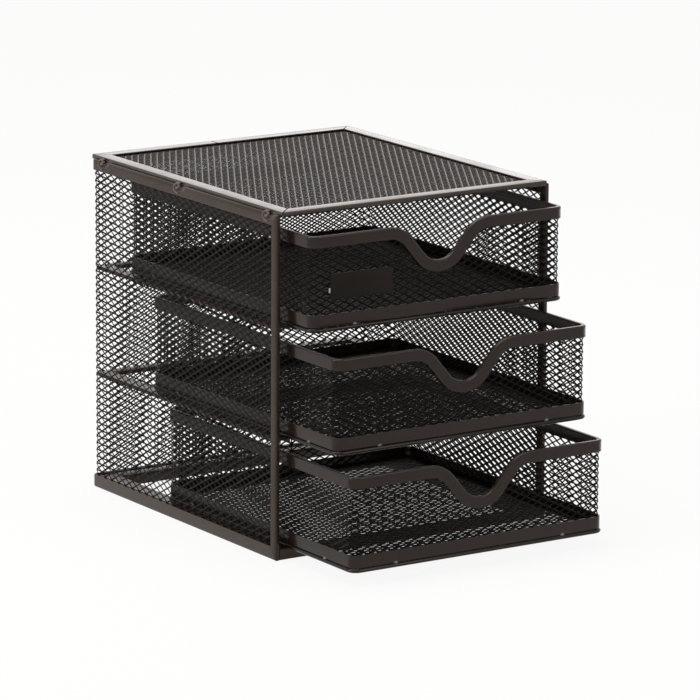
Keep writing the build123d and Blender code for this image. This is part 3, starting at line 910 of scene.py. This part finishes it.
def makeHemMark(side, along):
    # one raised C round a pinched pocket
    bm = bmesh.new()
    bmesh.ops.create_circle(
        bm, segments=lug["tubeSides"], radius=lug["tube"] * mm, cap_ends=False,
    )
    bmesh.ops.transform(bm, matrix=Matrix.Rotation(math.radians(90), 4, "X"), verts=bm.verts)
    bmesh.ops.translate(bm, vec=Vector((0, 0, lug["ring"])) * mm, verts=bm.verts)
    first = Matrix.Rotation(math.radians(90 - lug["opening"] / 2), 3, "X")
    bmesh.ops.rotate(bm, cent=(0, 0, 0), matrix=first, verts=bm.verts)
    bmesh.ops.spin(
        bm, geom=list(bm.verts) + list(bm.edges), cent=(0, 0, 0), axis=(1, 0, 0),
        angle=math.radians(lug["opening"] - 360), steps=lug["ringSteps"], use_merge=False,
    )
    bmesh.ops.scale(bm, vec=(lug["ringWide"], lug["stretch"], 1), verts=bm.verts)
    capEnds(bm)
    bend = lug["ring"] * lug["bendFrom"]
    for v in bm.verts:
        # the C's upper end follows the hem's rounded shoulder
        rise = max(0.0, v.co.z / mm - bend)
        v.co.x -= side * rise * lug["bendSlope"] * mm
    face = caseHalf - case["hemInset"]
    centre = Vector((side * face, caseFront + along, sideTop - lug["ringDrop"]))
    bmesh.ops.translate(bm, vec=centre * mm, verts=bm.verts)
    return bm


def makeBead(side, along):
    # the bead of weld that lies in a pinched pocket
    bm = bmesh.new()
    bmesh.ops.create_uvsphere(bm, u_segments=12, v_segments=8, radius=lug["bead"] * mm)
    bmesh.ops.scale(bm, vec=lug["beadShape"], verts=bm.verts)
    inset, drop = lug["beadInset"], lug["beadDrop"]
    seat = Vector((side * (caseHalf - inset), caseFront + along, sideTop - drop))
    bmesh.ops.translate(bm, vec=seat * mm, verts=bm.verts)
    return bm


def makePanelWelds():
    rings, beads = bmesh.new(), bmesh.new()
    for side in (-1, 1):
        for along in lug["places"]:
            joinInto(rings, makeHemMark(side, along))
            joinInto(beads, makeBead(side, along))
    smooth = tack["smooth"]
    # the raised Cs take the lighter paint, a painted highlight
    finishPiece(rings, "hem_marks", "case", lipCoat, smoothAngle=smooth)
    finishPiece(beads, "panel_tacks", "case", weldCoat, ["panel_welds"], smooth)


# how plain solids are dressed; angles in degrees
dressing = {
    "flat": 1,              # faces that differ by less are one
    "sharp": 30,            # edges that bend more are broken
    "smooth": 50,
    "fold": 0.7,            # how much a broken edge counts as a fold, and so is lightened as wear and as a painted highlight
}


def softened(node, body, coat, width, segments=2):
    # the CAD shape itself, merged, with its sharp edges broken
    bm = bmesh.new()
    bm.from_mesh(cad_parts[node].data)
    bmesh.ops.remove_doubles(bm, verts=bm.verts, dist=nearness["cadPoints"] * mm)
    bmesh.ops.dissolve_limit(
        bm, angle_limit=math.radians(dressing["flat"]), verts=bm.verts, edges=bm.edges,
        delimit={"NORMAL"},
    )
    fold = bm.verts.layers.float.new("fold")
    sharp = math.radians(dressing["sharp"])
    edges = [e for e in bm.edges if e.is_manifold and e.calc_face_angle(0) > sharp]
    # broken edges are marked as folds, whose paint is lightened: partly wear, partly a painted
    # highlight
    for v in breakEdges(bm, edges, width, segments):
        v[fold] = dressing["fold"]
    finishPiece(bm, node + "_dressed", body, coat, [node], dressing["smooth"])


plate = {
    "edge": 0.22,
    "clip": (0.7, 0.5, 2.4),    # the clip's width, depth and height
    "clipEdge": 0.15,
    "clipOut": 0.4,             # from the plate's end to the clip's middle, in clip widths
    "clipDrop": 1.6,            # below the plate's middle
}


def makePlate():
    softened("name_plate", "upper_drawer", plateCoat, plate["edge"], segments=3)
    low, high = boxMm("name_plate")
    middle = (low + high) / 2
    bm = bmesh.new()
    bmesh.ops.create_cube(bm, size=mm)
    bmesh.ops.scale(bm, vec=plate["clip"], verts=bm.verts)
    breakEdges(bm, list(bm.edges), plate["clipEdge"], 2)
    out = plate["clip"][0] * plate["clipOut"]
    place = Vector((low.x - out, middle.y, middle.z - plate["clipDrop"]))
    bmesh.ops.translate(bm, vec=place * mm, verts=bm.verts)
    # the clip's pale paint is a painted highlight
    finishPiece(bm, "plate_clip", "upper_drawer", paintedHighlightClipCoat)


for name in drawerNames:
    makeTacks(name)
makePanelWelds()
for level in ("base", "middle", "upper"):
    for end in ("left", "right", "back"):
        softened(f"{level}_ledge_{end}", "case", caseCoat, case["ledgeEdge"])
softened("front_sill", "case", caseCoat, case["sillEdge"])
makePlate()
print("welds, ledges and plate made")


# angles in degrees, lengths in mm
shot = {
    "azimuth": -33.36,
    "elevation": 12.79,
    "roll": 0.36,
    "distance": 2467.0,
    "lens": 259.9,
    "sensor": 36,
    "aim": (0.0, 83.8, 84.0),
    "shiftRight": -16.34,   # at the object
    "shiftUp": 7.64,
    "clip": (50, 50000),
}


def makeCamera():
    data = bpy.data.cameras.new("camera")
    camera = bpy.data.objects.new("camera", data)
    bpy.context.scene.collection.objects.link(camera)
    bpy.context.scene.camera = camera
    data.lens = shot["lens"]
    data.sensor_width = shot["sensor"]
    data.clip_start, data.clip_end = (mm * reach for reach in shot["clip"])
    a, e, r = (math.radians(shot[k]) for k in ("azimuth", "elevation", "roll"))
    back = Vector((math.sin(a) * math.cos(e), -math.cos(a) * math.cos(e), math.sin(e)))
    flat = upAxis.cross(back).normalized()
    tall = back.cross(flat)
    right = math.cos(r) * flat + math.sin(r) * tall
    up = -math.sin(r) * flat + math.cos(r) * tall
    place = Vector(shot["aim"]) + back * shot["distance"]
    place -= right * shot["shiftRight"] + up * shot["shiftUp"]
    turn = Matrix((right, up, back)).transposed().to_4x4()
    camera.matrix_world = Matrix.Translation(place * mm) @ turn


# lengths here are in metres and powers in watts
studio = {
    "background": (1.0, 1.0, 1.0),
    "ambient": 0.18,
    "floorColour": (0.86, 0.86, 0.86),
    "floorRoughness": 0.9,
    "floorReach": 6.0,
    "floorShow": 0.90,      # share of the floor that is seen as plain white
    "lampColour": (1.0, 0.94, 0.89),
    "lampAim": (0, 0.08, 0.08),
}
lamps = {
    "overhead": {"place": (-0.1, 0.3, 1.6), "size": (1.0, 1.0), "power": 21.0},
    "leftSide": {"place": (-1.7, 0.2, 0.7), "size": (0.9, 0.8), "power": 16.0},
    "front": {"place": (0.7, -1.8, 1.1), "size": (1.0, 0.8), "power": 8.0},
    "rear": {"place": (1.25, 1.95, 0.75), "size": (2.4, 1.1), "power": 7.5},
}


def seenDirectly(nodes, links):
    # 1 for the rays that show the background: to the camera, off gloss and through glass
    rays = nodes.new("ShaderNodeLightPath").outputs
    direct = mathNode(nodes, links, "MAXIMUM", rays["Is Camera Ray"], rays["Is Glossy Ray"])
    return mathNode(nodes, links, "MAXIMUM", direct, rays["Is Transmission Ray"])


def showShare(nodes, links, share, lit, shown, output):
    # a share of what is shown over what lights the object
    mixed = nodes.new("ShaderNodeMixShader")
    for socket, source in zip(mixed.inputs, (share, lit, shown)):
        links.new(source, socket)
    links.new(mixed.outputs[0], nodes[output].inputs["Surface"])


def makeFloor():
    material = bpy.data.materials.new("paleFloor")
    material.use_nodes = True
    nodes, links = material.node_tree.nodes, material.node_tree.links
    shader = nodes["Principled BSDF"]
    shader.inputs["Base Color"].default_value = (*studio["floorColour"], 1)
    shader.inputs["Roughness"].default_value = studio["floorRoughness"]
    white = nodes.new("ShaderNodeEmission")
    share = mathNode(nodes, links, "MULTIPLY", seenDirectly(nodes, links), studio["floorShow"])
    showShare(nodes, links, share, shader.outputs[0], white.outputs[0], "Material Output")
    bm = bmesh.new()
    bmesh.ops.create_grid(bm, x_segments=2, y_segments=2, size=studio["floorReach"])
    mesh = bpy.data.meshes.new("floor")
    bm.to_mesh(mesh)
    bm.free()
    floor = bpy.data.objects.new("floor", mesh)
    bpy.context.scene.collection.objects.link(floor)
    mesh.materials.append(material)


def makeWorld():
    world = bpy.data.worlds.new("studio")
    bpy.context.scene.world = world
    world.use_nodes = True
    nodes, links = world.node_tree.nodes, world.node_tree.links
    dim, bright = nodes["Background"], nodes.new("ShaderNodeBackground")
    dim.inputs["Strength"].default_value = studio["ambient"]
    for shade in (dim, bright):
        shade.inputs["Color"].default_value = (*studio["background"], 1)
    share = seenDirectly(nodes, links)
    showShare(nodes, links, share, dim.outputs[0], bright.outputs[0], "World Output")


def makeLamps():
    for name, lamp in lamps.items():
        data = bpy.data.lights.new(name, "AREA")
        data.shape = "RECTANGLE"
        data.size, data.size_y = lamp["size"]
        data.energy = lamp["power"]
        data.color = studio["lampColour"]
        light = bpy.data.objects.new(name, data)
        bpy.context.scene.collection.objects.link(light)
        light.visible_camera = False
        light.location = lamp["place"]
        aim = Vector(studio["lampAim"]) - Vector(lamp["place"])
        light.rotation_euler = aim.to_track_quat("-Z", "Y").to_euler()


makeCamera()
makeFloor()
makeWorld()
makeLamps()
bpy.context.scene.view_settings.view_transform = "Standard"
print("camera and studio made")
